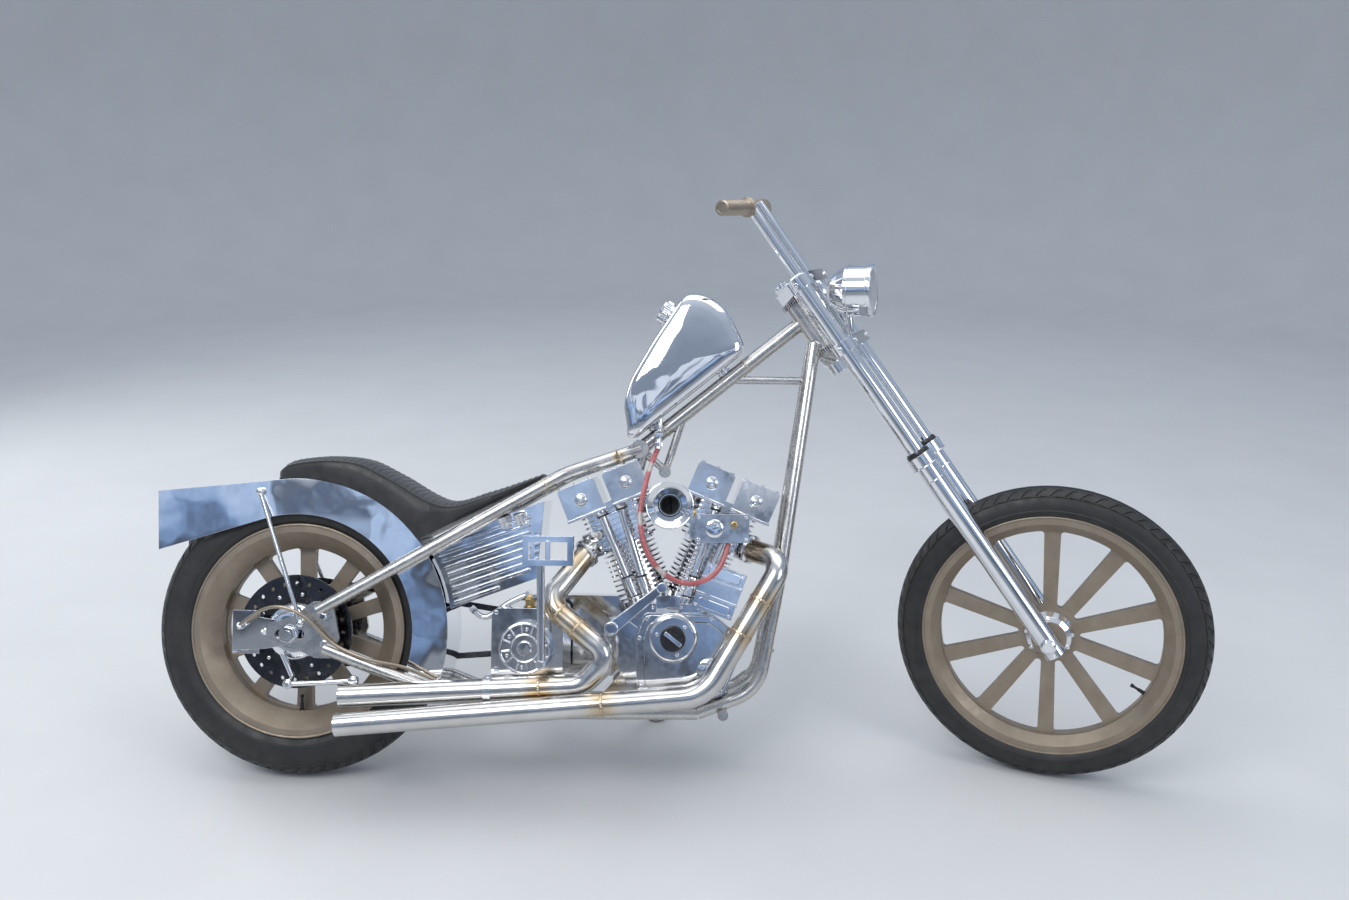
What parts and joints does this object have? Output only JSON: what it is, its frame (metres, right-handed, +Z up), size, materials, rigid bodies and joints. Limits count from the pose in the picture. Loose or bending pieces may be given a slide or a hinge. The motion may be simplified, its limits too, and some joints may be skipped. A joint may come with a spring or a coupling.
{
  "type": "chopper motorcycle",
  "caption": "Rigid chopper with a long raked fork, open V-twin, slab tank, ducktail fender and cast wheels, leaning on its side stand",
  "frame": {"origin": "bottom centre of the bounding box, on the ground under the middle of the machine", "axes": "+X forward, +Y to the rider's left, +Z up"},
  "size_m": [2.3614, 0.731, 1.2872],
  "materials": {
    "brushed_steel_1": "satin",
    "chrome_2": "polished",
    "leather_3": "satin",
    "aluminium_4": "polished",
    "matte_plastic_5": "matte",
    "cast_iron_6": "satin",
    "tyre_7": "matte",
    "painted_metal_8": "satin",
    "brushed_steel_9": "satin",
    "brass_10": "satin"
  },
  "bodies": {
    "chassis": {"frame_neck": "brushed_steel_1", "frame_top_tube": "brushed_steel_1", "frame_upper_rails": "brushed_steel_1", "frame_downtubes": "brushed_steel_1", "frame_lower_rails": "brushed_steel_1", "frame_cross_tubes": "brushed_steel_1", "frame_braces": "brushed_steel_1", "axle_plates": "brushed_steel_1", "rear_axle": "brushed_steel_1", "rear_fender": "chrome_2", "fender_stays": "chrome_2", "seat": "leather_3", "fuel_tank": "chrome_2", "fuel_cap": "chrome_2", "oil_tank": "chrome_2", "crankcase": "aluminium_4", "cam_cover": "aluminium_4", "timer_cap": "matte_plastic_5", "cylinder_rear": "aluminium_4", "cylinder_front": "aluminium_4", "rocker_boxes": "aluminium_4", "pushrod_tubes": "chrome_2", "carburettor": "aluminium_4", "velocity_stack": "chrome_2", "magneto": "aluminium_4", "exhaust_front": "brushed_steel_1", "exhaust_rear": "brushed_steel_1", "gearbox": "aluminium_4", "gearbox_cover": "aluminium_4", "kick_lever": "chrome_2", "primary_case": "aluminium_4", "rear_chain": "cast_iron_6", "brake_caliper": "aluminium_4", "caliper_bracket": "brushed_steel_1", "foot_control_right": "chrome_2", "stand_bracket": "brushed_steel_1"},
    "rear_wheel_assembly": {"rear_tyre": "tyre_7", "rear_wheel": "painted_metal_8", "brake_disc": "chrome_2", "rear_sprocket": "brushed_steel_9"},
    "front_end": {"front_axle": "chrome_2", "fork_leg_right": "chrome_2", "fork_leg_left": "chrome_2", "lower_clamp": "chrome_2", "upper_clamp": "chrome_2", "handlebar": "chrome_2", "grips": "brass_10", "headlight": "chrome_2"},
    "front_wheel_assembly": {"front_tyre": "tyre_7", "front_wheel": "painted_metal_8", "front_hub_caps": "chrome_2"},
    "stand": {"side_stand": "brushed_steel_1"}
  },
  "joints": [
    {"name": "steering", "type": "hinge", "parent": "chassis", "child": "front_end", "pos_m": [0.35015, 0.09694, 0.93686], "axis": [-0.5721, 0.2643, 0.7764], "range_deg": [-7.5, 52.5]},
    {"name": "rear_wheel_spin", "type": "hinge", "parent": "chassis", "child": "rear_wheel_assembly", "pos_m": [-0.8483, -0.11273, 0.32097], "axis": [0, 0.9466, -0.3223], "continuous": true},
    {"name": "front_wheel_spin", "type": "hinge", "parent": "front_end", "child": "front_wheel_assembly", "pos_m": [0.85526, -0.12771, 0.34228], "axis": [0.3139, 0.9451, -0.0905], "continuous": true},
    {"name": "side_stand_swing", "type": "hinge", "parent": "chassis", "child": "stand", "pos_m": [-0.1483, -0.04312, 0.12826], "axis": [0.0982, 0.7239, 0.6829], "range_deg": [0, 115.8]}
  ]
}
